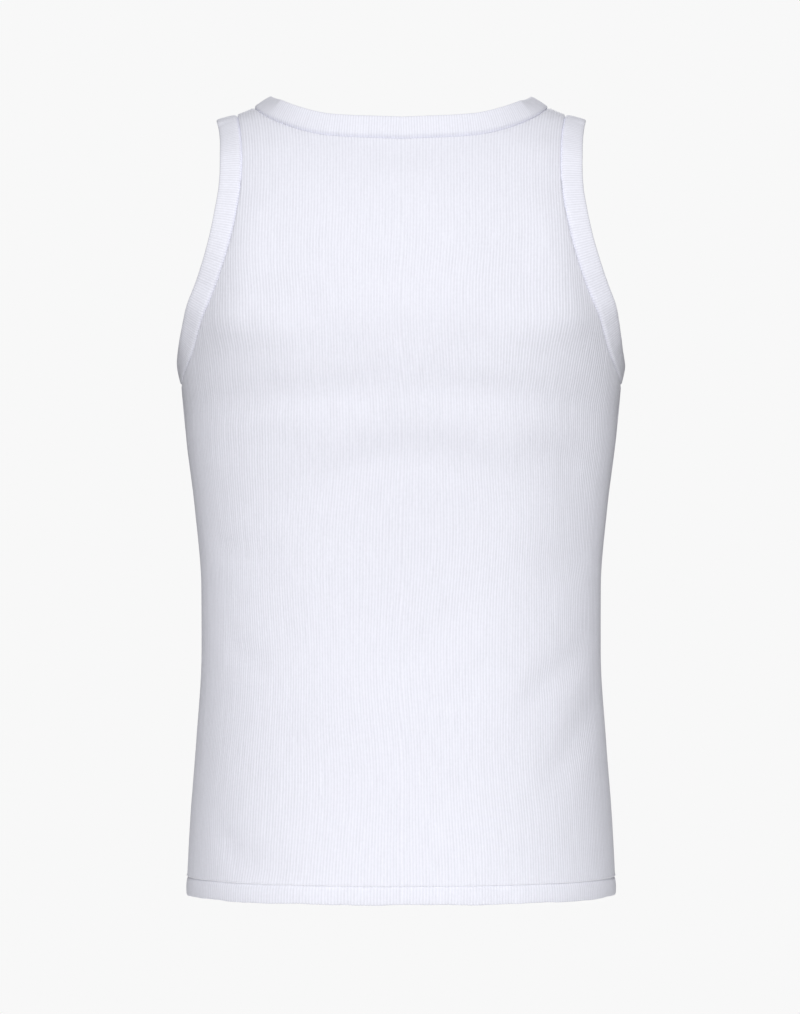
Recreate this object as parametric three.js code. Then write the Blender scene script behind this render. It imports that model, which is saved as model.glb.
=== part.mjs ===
// A rib-knit tank top, hollow and filled out as when it is worn: two panels, a neck band, two armhole bands.
// Lengths are in millimetres. Z is up, Y points to the wearer's front and X to the wearer's right.
import * as THREE from 'three';

// Driving dimensions. Heights are taken above the hem.
const originHeight = 667;
const underarmHeight = 433.5;
const strapNarrowHeight = 620;
const shoulderInnerX = 126;
const shoulderOuterX = 140.4;
const wall = 1.0;
const ribHeight = 0.45;
const ribsPerPanel = 188;
const hemTurnUp = 15;
const seamGap = 0.35;
const bandWidth = 17.5;
const bandThickness = 2.2;
const bandProud = 0.3;
const bandRounding = 1;
const bandRoundingDepth = 0.65;

// The bands' lift turns them out from the form: 0 keeps one in the form's surface. Reaches start at Y zero.
// The neck band stands up from the back of the neck and lies flat in front.
// An armhole band stands out most beside the shoulder blades and the chest.
const neckBackLift = 0.62;
const neckBackReach = 60;
const armholeLeastLift = 0.1;
const armholeMostLift = 0.38;
const armholeLiftReach = { from: 20, to: 70 };

// Up to the straight height the columns near the side seams take up the waist. Above it they go straight up.
const straightHeight = 500;
const waistShare = 2.2;

// The level outline's corners: 2 is an ellipse, and more is squarer at the sides
const squareness = 2.5;

// Level sections of the filled-out garment: half its width, and its depth behind and before the side seams
const sections = [
  { height: -20, halfWidth: 183.8, back: 121.0, front: 103.0 },
  { height: 0, halfWidth: 183.2, back: 121.0, front: 104.0 },
  { height: 60, halfWidth: 180.3, back: 118.5, front: 105.0 },
  { height: 130, halfWidth: 175.0, back: 108.0, front: 103.0 },
  { height: 207, halfWidth: 170.4, back: 95.0, front: 100.0 },
  { height: 260, halfWidth: 170.6, back: 90.0, front: 100.0 },
  { height: 330, halfWidth: 176.3, back: 93.0, front: 107.0 },
  { height: 390, halfWidth: 183.8, back: 103.0, front: 116.0 },
  { height: 440, halfWidth: 188.4, back: 112.0, front: 121.0 },
  { height: 480, halfWidth: 191.0, back: 116.0, front: 118.0 },
  { height: 520, halfWidth: 192.0, back: 114.0, front: 108.0 },
  { height: 560, halfWidth: 190.0, back: 106.5, front: 94.0 },
  { height: 590, halfWidth: 186.0, back: 97.0, front: 82.0 },
  { height: 615, halfWidth: 180.0, back: 86.0, front: 70.0 },
  { height: 635, halfWidth: 172.0, back: 74.0, front: 58.0 },
  { height: 650, halfWidth: 162.0, back: 62.0, front: 47.5 },
  { height: 660, halfWidth: 151.0, back: 53.0, front: 40.0 },
  { height: 671, halfWidth: 126.4, back: 42.5, front: 33.0 },
  { height: 680, halfWidth: 113.6, back: 34.5, front: 27.0 },
  { height: 700, halfWidth: 88.0, back: 20.0, front: 16.0 },
];

// Neck seams, from the middle out to the shoulder
const backNeck = [
  { x: 0, height: 640.3 },
  { x: 51, height: 642.6 },
  { x: 71, height: 645.1 },
  { x: 93, height: 651.4 },
  { x: 110.5, height: 659.5 },
];
const frontNeck = [
  { x: 0, height: 552 },
  { x: 40, height: 556 },
  { x: 72, height: 570 },
  { x: 94, height: 594 },
  { x: 107, height: 620 },
  { x: 114.5, height: 640 },
  { x: 119, height: 652 },
  { x: 121.8, height: 660 },
];

// Armhole seams, from just above the side seam to the straps' narrowest place.
// The distance round is taken from the middle of the panel, level with the point.
const backArmhole = [
  { round: 234, height: 434.6 },
  { round: 219.6, height: 442.5 },
  { round: 203.4, height: 455.1 },
  { round: 189.7, height: 472.3 },
  { round: 167.3, height: 508.6 },
  { round: 148.6, height: 551.1 },
  { round: 141.4, height: 582.3 },
  { round: 138.7, height: 606 },
  { round: 138.2, height: strapNarrowHeight },
];
const frontArmhole = [
  { round: 240, height: 434.6 },
  { round: 223.6, height: 442 },
  { round: 204, height: 455 },
  { round: 187, height: 473 },
  { round: 172.5, height: 495 },
  { round: 157.5, height: 520 },
  { round: 143.5, height: 550 },
  { round: 136.8, height: 580 },
  { round: 134.9, height: 602 },
  { round: 134, height: strapNarrowHeight },
];

// Heights of the rows of points: level ones to the straps, then steps down from the shoulder seam
const levelRows = [0, 100, 200, 290, 375, 450, 520, 594];
const shoulderSteps = [32, 15, 6, 1.5];
const shoulderZone = 655;
const rowMargin = 8;

// Steps of a level section's angle, stations along a panel's half of each seam, and columns of its plain face
// across the neck, strap and side
const sectionSteps = 96;
const neckSteps = 17;
const armholeSteps = 24;
const neckColumns = 8;
const strapColumns = 2;
const sideColumns = 9;

// Closest that a station or a corner comes to a column, in millimetres and in ribs
const stationMargin = 0.15;
const cornerMargin = 0.3;

// Heights that bound the search for the shoulder's ridge
const ridgeLow = 600;
const ridgeHigh = 700;

// A smooth curve through a table's rows that never overshoots them
function smoothTable(rows, input, output) {
  const last = rows.length - 1;
  const at = rows.map((row) => row[input]);
  const value = rows.map((row) => row[output]);
  const rise = [];
  for (let i = 0; i < last; i += 1) {
    rise.push((value[i + 1] - value[i]) / (at[i + 1] - at[i]));
  }
  const slope = value.map((unused, i) => {
    if (i === 0) return rise[0];
    if (i === last) return rise[last - 1];
    if (rise[i - 1] * rise[i] <= 0) return 0;
    const before = at[i] - at[i - 1];
    const after = at[i + 1] - at[i];
    const weightBefore = 2 * after + before;
    const weightAfter = after + 2 * before;
    return (weightBefore + weightAfter) / (weightBefore / rise[i - 1] + weightAfter / rise[i]);
  });
  return (x) => {
    const clamped = THREE.MathUtils.clamp(x, at[0], at[last]);
    let i = 0;
    while (i < last - 1 && clamped > at[i + 1]) i += 1;
    const span = at[i + 1] - at[i];
    const t = (clamped - at[i]) / span;
    const t2 = t * t;
    const t3 = t2 * t;
    const fromStart = (2 * t3 - 3 * t2 + 1) * value[i] + (t3 - 2 * t2 + t) * span * slope[i];
    const fromEnd = (3 * t2 - 2 * t3) * value[i + 1] + (t3 - t2) * span * slope[i + 1];
    return fromStart + fromEnd;
  };
}

// The place between low and high where a rising function reaches zero
function solve(rising, low, high) {
  let from = low;
  let to = high;
  for (let i = 0; i < 44; i += 1) {
    const middle = (from + to) / 2;
    if (rising(middle) < 0) from = middle;
    else to = middle;
  }
  return (from + to) / 2;
}

const halfWidthAt = smoothTable(sections, 'height', 'halfWidth');

// One half of a level section, from the middle to the side: the distance round it at even steps of its angle
function sectionArcs(panel, height) {
  const known = panel.arcs.get(height);
  if (known) return known;
  const arcs = [0];
  let before = sectionPoint(panel, 0, height);
  for (let i = 1; i <= sectionSteps; i += 1) {
    const here = sectionPoint(panel, (i / sectionSteps) * (Math.PI / 2), height);
    arcs.push(arcs[i - 1] + here.distanceTo(before));
    before = here;
  }
  panel.arcs.set(height, arcs);
  return arcs;
}

function sectionPoint(panel, angle, height) {
  const x = halfWidthAt(height) * Math.sin(angle) ** (2 / squareness);
  return new THREE.Vector2(x, panel.depthAt(height) * Math.cos(angle));
}

function halfArc(panel, height) {
  return sectionArcs(panel, height)[sectionSteps];
}

// The point of a level section at a distance round it from the middle
function pointAtArc(panel, arc, height) {
  const arcs = sectionArcs(panel, height);
  const wanted = THREE.MathUtils.clamp(arc, 0, arcs[sectionSteps]);
  let i = 0;
  while (i < sectionSteps - 1 && wanted > arcs[i + 1]) i += 1;
  const part = (wanted - arcs[i]) / (arcs[i + 1] - arcs[i]);
  return sectionPoint(panel, ((i + part) / sectionSteps) * (Math.PI / 2), height);
}

// The straps' columns fan out with the armhole's edge as they near the shoulder
function strapFan(panel, height) {
  const t = Math.max(0, (height - strapNarrowHeight) / (shoulderOuterHeight - strapNarrowHeight));
  return 1 + panel.fan * t * t;
}

// A column follows one rib. It is named by its distance from the middle, round the panel at the underarm.
function columnArc(panel, distance, height) {
  const chest = halfArc(panel, underarmHeight);
  return distance + (halfArc(panel, height) - chest) * (distance / chest) ** waistShare;
}

function columnX(panel, distance, height) {
  const place = pointAtArc(panel, columnArc(panel, distance, straightHeight), straightHeight);
  return place.x * strapFan(panel, height);
}

function formPoint(panel, column, height) {
  const distance = Math.abs(column);
  if (height <= straightHeight) {
    const place = pointAtArc(panel, columnArc(panel, distance, height), height);
    return new THREE.Vector3(Math.sign(column) * place.x, panel.facing * place.y, height);
  }
  return pointAtX(panel, Math.sign(column) * columnX(panel, distance, height), height);
}

function pointAtX(panel, x, height) {
  const across = Math.min(1, Math.abs(x) / halfWidthAt(height)) ** squareness;
  return new THREE.Vector3(x, panel.facing * panel.depthAt(height) * Math.sqrt(1 - across), height);
}

// The column through a point of the form
function columnThrough(panel, point) {
  const chest = halfArc(panel, underarmHeight);
  if (point.z > straightHeight) {
    return solve((distance) => columnX(panel, distance, point.z) - point.x, 0, chest);
  }
  const across = (point.x / halfWidthAt(point.z)) ** (squareness / 2);
  const angle = Math.atan2(across, Math.abs(point.y) / panel.depthAt(point.z));
  const step = Math.min(angle / (Math.PI / 2), 1) * sectionSteps;
  const arcs = sectionArcs(panel, point.z);
  const i = Math.min(Math.floor(step), sectionSteps - 1);
  const arc = arcs[i] + (step - i) * (arcs[i + 1] - arcs[i]);
  return solve((distance) => columnArc(panel, distance, point.z) - arc, 0, chest);
}

// The outward direction of the form at one of its points
const probe = 0.05;
function formNormal(panel, point) {
  const outline = (height) => {
    const across = (Math.abs(point.x) / halfWidthAt(height)) ** squareness;
    return across + (point.y / panel.depthAt(height)) ** 2;
  };
  const halfWidth = halfWidthAt(point.z);
  const depth = panel.depthAt(point.z);
  const steepness = (squareness * (Math.abs(point.x) / halfWidth) ** (squareness - 1)) / halfWidth;
  const normal = new THREE.Vector3(
    Math.sign(point.x) * steepness,
    (2 * point.y) / (depth * depth),
    (outline(point.z + probe) - outline(point.z - probe)) / (2 * probe),
  );
  return normal.normalize();
}

// Stations at even steps along a smooth seam through points of the form
function seamStations(panel, points, steps) {
  return new THREE.CatmullRomCurve3(points, false, 'centripetal').getSpacedPoints(steps).map((point) => ({
    column: columnThrough(panel, point),
    height: point.z,
  }));
}

// A panel's own values, worked out from the tables
function makePanel(name, facing, depthName, neck, armhole) {
  const panel = { name, facing, arcs: new Map(), fan: 0 };
  panel.depthAt = smoothTable(sections, 'height', depthName);
  const chest = halfArc(panel, underarmHeight);
  panel.sideEdge = chest - seamGap / 2;
  const armholePoints = armhole.map((row) => {
    const place = pointAtArc(panel, row.round, row.height);
    return new THREE.Vector3(place.x, facing * place.y, row.height);
  });
  const underarm = formPoint(panel, chest, underarmHeight);
  panel.armhole = seamStations(panel, [underarm, ...armholePoints], armholeSteps);
  panel.strapEdge = panel.armhole[armholeSteps].column;
  panel.fan = shoulderOuterX / formPoint(panel, panel.strapEdge, strapNarrowHeight).x - 1;
  const neckPoints = neck.map((row) => pointAtX(panel, row.x, row.height));
  const shoulder = new THREE.Vector3(shoulderInnerX, 0, shoulderInnerHeight);
  panel.neck = seamStations(panel, [...neckPoints, shoulder], neckSteps);
  panel.neckEdge = panel.neck[neckSteps].column;
  return panel;
}

const shoulderInnerHeight = solve((height) => shoulderInnerX - halfWidthAt(height), ridgeLow, ridgeHigh);
const shoulderOuterHeight = solve((height) => shoulderOuterX - halfWidthAt(height), ridgeLow, ridgeHigh);
const back = makePanel('back', -1, 'back', backNeck, backArmhole);
const front = makePanel('front', 1, 'front', frontNeck, frontArmhole);

// The height where a column meets the shoulder seam, just before the ridge of the shoulder
function shoulderHeight(panel, column) {
  return solve((height) => {
    return seamGap / 2 - Math.abs(formPoint(panel, column, height).y);
  }, strapNarrowHeight, ridgeHigh);
}

// The height where a column meets a seam that is given by its stations
function stationHeight(stations, distance) {
  const last = stations.length - 1;
  const outward = stations[0].column < stations[last].column;
  const passed = (place) => (outward ? place.column < distance : place.column > distance);
  let i = 0;
  while (i < last - 1 && passed(stations[i + 1])) i += 1;
  const from = stations[i];
  const to = stations[i + 1];
  const part = THREE.MathUtils.clamp((distance - from.column) / (to.column - from.column), 0, 1);
  return from.height + part * (to.height - from.height);
}

function seamHeight(panel, distance) {
  if (distance < panel.neckEdge) return stationHeight(panel.neck, distance);
  if (distance <= panel.strapEdge) return shoulderHeight(panel, distance);
  return stationHeight(panel.armhole, distance);
}

// Rows of one column, from the hem to its seam. The straps have one more where the armhole's edge meets them.
function columnHeights(panel, distance, rows) {
  const top = seamHeight(panel, distance);
  const onShoulder = top > shoulderZone;
  const clear = onShoulder ? shoulderSteps[0] + rowMargin / 2 : rowMargin;
  const heights = rows.filter((height) => height < top - clear);
  if (onShoulder) heights.push(strapNarrowHeight, ...shoulderSteps.map((step) => top - step));
  return [...heights, top];
}

// Joins two chains of points with triangles. The rule says whether the first chain takes the next step.
function zip(mesh, first, second, flip, rule) {
  let i = 0;
  let j = 0;
  while (i < first.length - 1 || j < second.length - 1) {
    const canFirst = i < first.length - 1;
    const canSecond = j < second.length - 1;
    const places = [first[i], first[i + 1], second[j], second[j + 1]].map((point) => mesh.points[point]);
    const takeFirst = canFirst && (!canSecond || rule(...places));
    const next = takeFirst ? first[i + 1] : second[j + 1];
    mesh.faces.push(flip ? [second[j], first[i], next] : [first[i], second[j], next]);
    if (takeFirst) i += 1;
    else j += 1;
  }
}

// Across a strip of cloth the lower point comes first, and round an edge the shorter way across
const lowerFirst = (a, nextA, b, nextB) => nextA.z <= nextB.z;
const shorterFirst = (a, nextA, b, nextB) => nextA.distanceTo(b) <= a.distanceTo(nextB);

// One face of a panel's wall, at a depth under the form. It gives back its four edges, anticlockwise.
function clothFace(mesh, panel, columns, rows, depthAt, flip) {
  const addPoint = (column, height) => {
    const point = formPoint(panel, column, height);
    point.addScaledVector(formNormal(panel, point), -depthAt(column, height));
    mesh.points.push(point);
    return mesh.points.length - 1;
  };
  const chains = columns.map((column) => {
    const distance = Math.abs(column);
    const heights = columnHeights(panel, distance, rows);
    const joint = distance === panel.strapEdge ? heights.indexOf(strapNarrowHeight) : 0;
    return { column, distance, points: heights.map((height) => addPoint(column, height)), joint };
  });
  const topEdge = [];
  chains.forEach((chain, i) => {
    const above = chain.joint ? chain.points.slice(chain.joint) : chain.points.slice(-1);
    topEdge.push(...(chain.column > 0 ? above.reverse() : above));
    if (i === chains.length - 1) return;
    const next = chains[i + 1];
    const [inner, outer] = chain.distance < next.distance ? [chain, next] : [next, chain];
    const onArmhole = inner.distance >= panel.strapEdge;
    const seam = onArmhole ? panel.armhole : panel.neck;
    const stations = seam.filter((place) => {
      return place.column > inner.distance + stationMargin && place.column < outer.distance - stationMargin;
    }).map((place) => addPoint(Math.sign(chain.column + next.column) * place.column, place.height));
    const lower = onArmhole ? outer : inner;
    const side = (one) => {
      const points = onArmhole && one.joint ? one.points.slice(0, one.joint + 1) : one.points;
      return one === lower ? [...points, ...stations] : points;
    };
    zip(mesh, side(chain), side(next), flip, lowerFirst);
    topEdge.push(...(lower === chain ? stations : stations.reverse()));
  });
  return {
    hem: chains.map((chain) => chain.points[0]),
    right: chains[chains.length - 1].points,
    top: topEdge.reverse(),
    left: chains[0].points.slice().reverse(),
  };
}

// Columns along every rib's crest and groove, with the corners of the neck and straps among them
function ribColumns(panel) {
  const pitch = panel.sideEdge / ribsPerPanel;
  const corners = [panel.neckEdge, panel.strapEdge];
  const marks = [...corners.map((corner) => -corner), ...corners];
  const even = [];
  for (let i = 0; i <= 2 * ribsPerPanel; i += 1) {
    even.push(i * pitch - panel.sideEdge);
  }
  const kept = even.filter((column) => marks.every((mark) => Math.abs(mark - column) > pitch * cornerMargin));
  return [...kept, ...marks].sort((a, b) => a - b);
}

// Columns for the plain face, evenly spread across the neck, each strap and each side
function plainColumns(panel) {
  const half = [];
  const zones = [
    { from: 0, to: panel.neckEdge, count: neckColumns },
    { from: panel.neckEdge, to: panel.strapEdge, count: strapColumns },
    { from: panel.strapEdge, to: panel.sideEdge, count: sideColumns },
  ];
  zones.forEach((zone) => {
    for (let i = 1; i < zone.count; i += 1) {
      half.push(zone.from + ((zone.to - zone.from) * i) / zone.count);
    }
    half.push(zone.to);
  });
  return [...half.map((column) => -column), 0, ...half].sort((a, b) => a - b);
}

function makeMesh(name, mesh, material) {
  const geometry = new THREE.BufferGeometry();
  const positions = mesh.points.flatMap((point) => [point.x, point.y, point.z - originHeight]);
  geometry.setAttribute('position', new THREE.Float32BufferAttribute(positions, 3));
  geometry.setIndex(mesh.faces.flat());
  geometry.computeVertexNormals();
  const part = new THREE.Mesh(geometry, material);
  part.name = name;
  return part;
}

// A panel is a wall with ribs raised on its outer face. Its hem is turned up inside.
function makePanelMesh(panel, material) {
  const mesh = { points: [], faces: [] };
  const facesFront = panel.facing > 0;
  const ribPitch = (2 * panel.sideEdge) / ribsPerPanel;
  const grooveDepth = (column) => {
    const phase = ((column + panel.sideEdge) / ribPitch) % 1;
    return ribHeight * Math.abs(1 - 2 * phase);
  };
  const wallDepth = (column, height) => wall + ribHeight + (height <= hemTurnUp ? wall : 0);
  const innerRows = [0, hemTurnUp, hemTurnUp + wall, ...levelRows.slice(1)];
  const outer = clothFace(mesh, panel, ribColumns(panel), levelRows, grooveDepth, facesFront);
  const inner = clothFace(mesh, panel, plainColumns(panel), innerRows, wallDepth, !facesFront);
  ['hem', 'right', 'top', 'left'].forEach((edge) => {
    zip(mesh, outer[edge], inner[edge], facesFront, shorterFirst);
  });
  return makeMesh(panel.name, mesh, material);
}

// A band's section: the distance across from its seam, and out from the form. It is rounded at its fold.
const bandInside = bandProud - bandThickness;
const bandSection = [
  { across: 0, out: bandInside },
  { across: 0, out: bandProud },
  { across: bandWidth - bandRounding, out: bandProud },
  { across: bandWidth, out: bandProud - bandRoundingDepth },
  { across: bandWidth, out: bandInside + bandRoundingDepth },
  { across: bandWidth - bandRounding, out: bandInside },
];

// A band round a closed seam
function makeBandMesh(name, path, liftAt, material) {
  const mesh = { points: [], faces: [] };
  const count = path.length;
  const middle = new THREE.Vector3();
  path.forEach((station) => middle.addScaledVector(station.point, 1 / count));
  path.forEach((station, i) => {
    const along = path[(i + 1) % count].point.clone().sub(path[(i + count - 1) % count].point).normalize();
    const inward = along.cross(station.normal).normalize();
    if (inward.dot(middle.clone().sub(station.point)) < 0) inward.negate();
    const lift = liftAt(station.point);
    const across = inward.clone().addScaledVector(station.normal, lift).normalize();
    const out = station.normal.clone().addScaledVector(inward, -lift).normalize();
    const start = station.point.clone().addScaledVector(inward, seamGap);
    bandSection.forEach((place) => {
      const point = start.clone().addScaledVector(across, place.across);
      point.addScaledVector(place.across > 0 ? out : station.normal, place.out);
      mesh.points.push(point);
    });
  });
  const sides = bandSection.length;
  for (let i = 0; i < count; i += 1) {
    const next = (i + 1) % count;
    for (let j = 0; j < sides; j += 1) {
      const k = (j + 1) % sides;
      mesh.faces.push([i * sides + j, next * sides + j, next * sides + k]);
      mesh.faces.push([i * sides + j, next * sides + k, i * sides + k]);
    }
  }
  return makeMesh(name, mesh, material);
}

function station(panel, column, height) {
  const point = formPoint(panel, column, height);
  return { point, normal: formNormal(panel, point) };
}

// The right armhole's seam, from the side seam up the front, over the shoulder and down the back
function armholePath() {
  const halfPath = (panel) => {
    const top = shoulderHeight(panel, panel.strapEdge);
    const low = panel.armhole.slice(1).map((place) => station(panel, place.column, place.height));
    const high = shoulderSteps.map((step) => station(panel, panel.strapEdge, top - step));
    return [...low, ...high];
  };
  const underarm = station(back, back.sideEdge, underarmHeight);
  const shoulder = station(back, back.strapEdge, shoulderHeight(back, back.strapEdge));
  return [underarm, ...halfPath(front), shoulder, ...halfPath(back).reverse()];
}

// The neck seam, from the left shoulder round the back to the right shoulder and round the front
function neckPath() {
  const halfPath = (panel) => {
    const right = panel.neck.slice(0, -1).map((place) => station(panel, place.column, place.height));
    return [...mirrored(right.slice(1)), ...right];
  };
  const shoulder = station(back, back.neckEdge, shoulderHeight(back, back.neckEdge));
  return [...mirrored([shoulder]), ...halfPath(back), shoulder, ...halfPath(front).reverse()];
}

function mirrored(path) {
  const flipX = new THREE.Vector3(-1, 1, 1);
  return path.map((place) => ({
    point: place.point.clone().multiply(flipX),
    normal: place.normal.clone().multiply(flipX),
  })).reverse();
}

function neckLift(point) {
  return neckBackLift * THREE.MathUtils.smoothstep(-point.y, 0, neckBackReach);
}

function armholeLift(point) {
  const reach = THREE.MathUtils.smoothstep(Math.abs(point.y), armholeLiftReach.from, armholeLiftReach.to);
  return THREE.MathUtils.lerp(armholeLeastLift, armholeMostLift, reach);
}

const ribKnit = new THREE.MeshStandardMaterial({ color: 0xf1f1f5, roughness: 0.92, metalness: 0 });
const bandKnit = new THREE.MeshStandardMaterial({ color: 0xeeeef3, roughness: 0.92, metalness: 0 });

const tankTop = new THREE.Group();
tankTop.name = 'tank_top';
tankTop.add(makePanelMesh(back, ribKnit));
tankTop.add(makePanelMesh(front, ribKnit));
tankTop.add(makeBandMesh('neck_band', neckPath(), neckLift, bandKnit));
tankTop.add(makeBandMesh('armhole_band_right', armholePath(), armholeLift, bandKnit));
tankTop.add(makeBandMesh('armhole_band_left', mirrored(armholePath()), armholeLift, bandKnit));

export default tankTop;
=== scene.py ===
"""A white rib-knit tank top, hollow and filled out as when it is worn. Lengths are in metres."""

import math
from collections import namedtuple

import bmesh
import bpy
import numpy as np
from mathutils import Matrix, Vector, kdtree


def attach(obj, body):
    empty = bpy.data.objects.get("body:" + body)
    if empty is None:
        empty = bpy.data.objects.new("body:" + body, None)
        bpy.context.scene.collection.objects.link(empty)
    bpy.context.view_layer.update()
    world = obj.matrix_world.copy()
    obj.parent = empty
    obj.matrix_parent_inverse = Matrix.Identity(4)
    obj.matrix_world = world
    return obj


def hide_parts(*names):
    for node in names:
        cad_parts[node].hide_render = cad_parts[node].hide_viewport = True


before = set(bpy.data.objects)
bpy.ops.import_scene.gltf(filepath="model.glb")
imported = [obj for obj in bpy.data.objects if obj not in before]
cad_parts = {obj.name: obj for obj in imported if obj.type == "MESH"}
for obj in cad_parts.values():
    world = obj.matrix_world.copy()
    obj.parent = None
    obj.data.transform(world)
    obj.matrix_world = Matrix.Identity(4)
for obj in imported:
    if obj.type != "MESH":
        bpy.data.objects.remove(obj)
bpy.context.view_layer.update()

MM = 0.001
UP = np.array([0, 0, 1.0])
FORWARD = np.array([0, 1.0, 0])

# Driving dimensions, the same as the solids have. Heights are taken above the hem.
ORIGIN_HEIGHT = 667 * MM
UNDERARM_HEIGHT = 433.5 * MM
STRAP_NARROW_HEIGHT = 620 * MM
SHOULDER_INNER_X = 126 * MM
SHOULDER_OUTER_X = 140.4 * MM
SEAM_GAP = 0.35 * MM
HEM_TURN_UP = 15 * MM
STRAIGHT_HEIGHT = 500 * MM
WAIST_SHARE = 2.2
SQUARENESS = 2.5
RIDGE_LOW = 600 * MM
RIDGE_HIGH = 700 * MM

# The cloth: its thickness, the ribs of a panel, and how deep the grooves between them are
CLOTH = 0.9 * MM
RIBS_PER_PANEL = 188
GROOVE = 0.42 * MM
CREST = 0.04 * MM
COLUMNS_PER_RIB = 3
COURSE = 1.15 * MM

# Level sections of the filled-out garment, in millimetres: half its width, and its depth behind and in front
Section = namedtuple("Section", "height half_width back front")
SECTIONS = [
    Section(-20, 183.8, 121.0, 103.0),
    Section(0, 183.2, 121.0, 104.0),
    Section(60, 180.3, 118.5, 105.0),
    Section(130, 175.0, 108.0, 103.0),
    Section(207, 170.4, 95.0, 100.0),
    Section(260, 170.6, 90.0, 100.0),
    Section(330, 176.3, 93.0, 107.0),
    Section(390, 183.8, 103.0, 116.0),
    Section(440, 188.4, 112.0, 121.0),
    Section(480, 191.0, 116.0, 118.0),
    Section(520, 192.0, 114.0, 108.0),
    Section(560, 190.0, 106.5, 94.0),
    Section(590, 186.0, 97.0, 82.0),
    Section(615, 180.0, 86.0, 70.0),
    Section(635, 172.0, 74.0, 58.0),
    Section(650, 162.0, 62.0, 47.5),
    Section(660, 151.0, 53.0, 40.0),
    Section(671, 126.4, 42.5, 33.0),
    Section(680, 113.6, 34.5, 27.0),
    Section(700, 88.0, 20.0, 16.0),
]

# Neck seams from the middle out, and armhole seams from the side seam up, in millimetres.
# The distance round is taken from the middle of the panel, level with the point.
NeckPoint = namedtuple("NeckPoint", "x height")
BACK_NECK = [
    NeckPoint(0, 640.3),
    NeckPoint(51, 642.6),
    NeckPoint(71, 645.1),
    NeckPoint(93, 651.4),
    NeckPoint(110.5, 659.5),
]
FRONT_NECK = [
    NeckPoint(0, 552),
    NeckPoint(40, 556),
    NeckPoint(72, 570),
    NeckPoint(94, 594),
    NeckPoint(107, 620),
    NeckPoint(114.5, 640),
    NeckPoint(119, 652),
    NeckPoint(121.8, 660),
]
ArmholePoint = namedtuple("ArmholePoint", "round height")
BACK_ARMHOLE = [
    ArmholePoint(234, 434.6),
    ArmholePoint(219.6, 442.5),
    ArmholePoint(203.4, 455.1),
    ArmholePoint(189.7, 472.3),
    ArmholePoint(167.3, 508.6),
    ArmholePoint(148.6, 551.1),
    ArmholePoint(141.4, 582.3),
    ArmholePoint(138.7, 606),
    ArmholePoint(138.2, 620),
]
FRONT_ARMHOLE = [
    ArmholePoint(240, 434.6),
    ArmholePoint(223.6, 442),
    ArmholePoint(204, 455),
    ArmholePoint(187, 473),
    ArmholePoint(172.5, 495),
    ArmholePoint(157.5, 520),
    ArmholePoint(143.5, 550),
    ArmholePoint(136.8, 580),
    ArmholePoint(134.9, 602),
    ArmholePoint(134, 620),
]

# Soft creases, listed in millimetres: the two ends and the middle of each, its depth and its reach to
# each side. A negative depth is a ridge. The first list is the back, and the second the front.
Crease = namedtuple("Crease", "x1 height1 x2 height2 x3 height3 depth reach")
BACK_CREASES = [
    Crease(-186, 412, -70, 424, -4, 428, 5.0, 17),
    Crease(0, 427, 76, 424, 186, 410, 4.6, 16),
    Crease(-76, 340, 8, 374, 110, 338, 3.6, 17),
    Crease(-156, 370, -120, 384, -84, 386, 2.2, 13),
    Crease(96, 366, 126, 372, 156, 358, 2.6, 14),
    Crease(100, 164, 128, 188, 160, 210, 3.6, 10),
    Crease(116, 92, 146, 132, 166, 170, 2.8, 14),
    Crease(-36, 77, 2, 75, 42, 78, 1.5, 6),
    Crease(-46, 108, -20, 107, 4, 110, 1.1, 6),
    Crease(-156, 60, -128, 34, -84, 30, 2.8, 11),
    Crease(-14, 176, 24, 214, 66, 246, 1.8, 13),
    Crease(18, 150, 60, 184, 102, 216, 1.5, 12),
    Crease(-148, 213, -130, 205, -108, 197, 2.0, 8),
    Crease(-160, 302, -134, 292, -100, 296, 1.9, 10),
    Crease(106, 288, 136, 282, 162, 291, 2.0, 11),
    Crease(-44, 630, 0, 628, 44, 630, 1.5, 10),
    Crease(-178, 486, -128, 484, -80, 476, -4.6, 19),
    Crease(82, 478, 130, 486, 180, 490, -4.4, 19),
    Crease(-72, 492, 0, 498, 72, 492, -2.5, 20),
    Crease(-126, 596, -134, 534, -148, 470, -4.2, 24),
    Crease(124, 596, 132, 534, 146, 470, -4.2, 24),
    Crease(150, 262, 153, 360, 158, 458, 4.0, 38),
    Crease(60, 26, 82, 12, 98, 2, 1.9, 9),
    Crease(-104, 452, -58, 462, -20, 456, 1.6, 14),
    Crease(30, 452, 66, 464, 104, 454, 1.5, 13),
    Crease(-118, 560, -96, 548, -70, 544, 1.2, 13),
    Crease(64, 556, 92, 546, 118, 552, 1.2, 12),
    Crease(84, 636, 114, 632, 140, 628, -2.2, 15),
    Crease(-140, 634, -114, 638, -88, 640, -1.1, 14),
    Crease(-96, 240, -58, 250, -18, 236, -1.8, 24),
    Crease(-86, 130, -52, 142, -16, 132, -1.6, 24),
]
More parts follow.
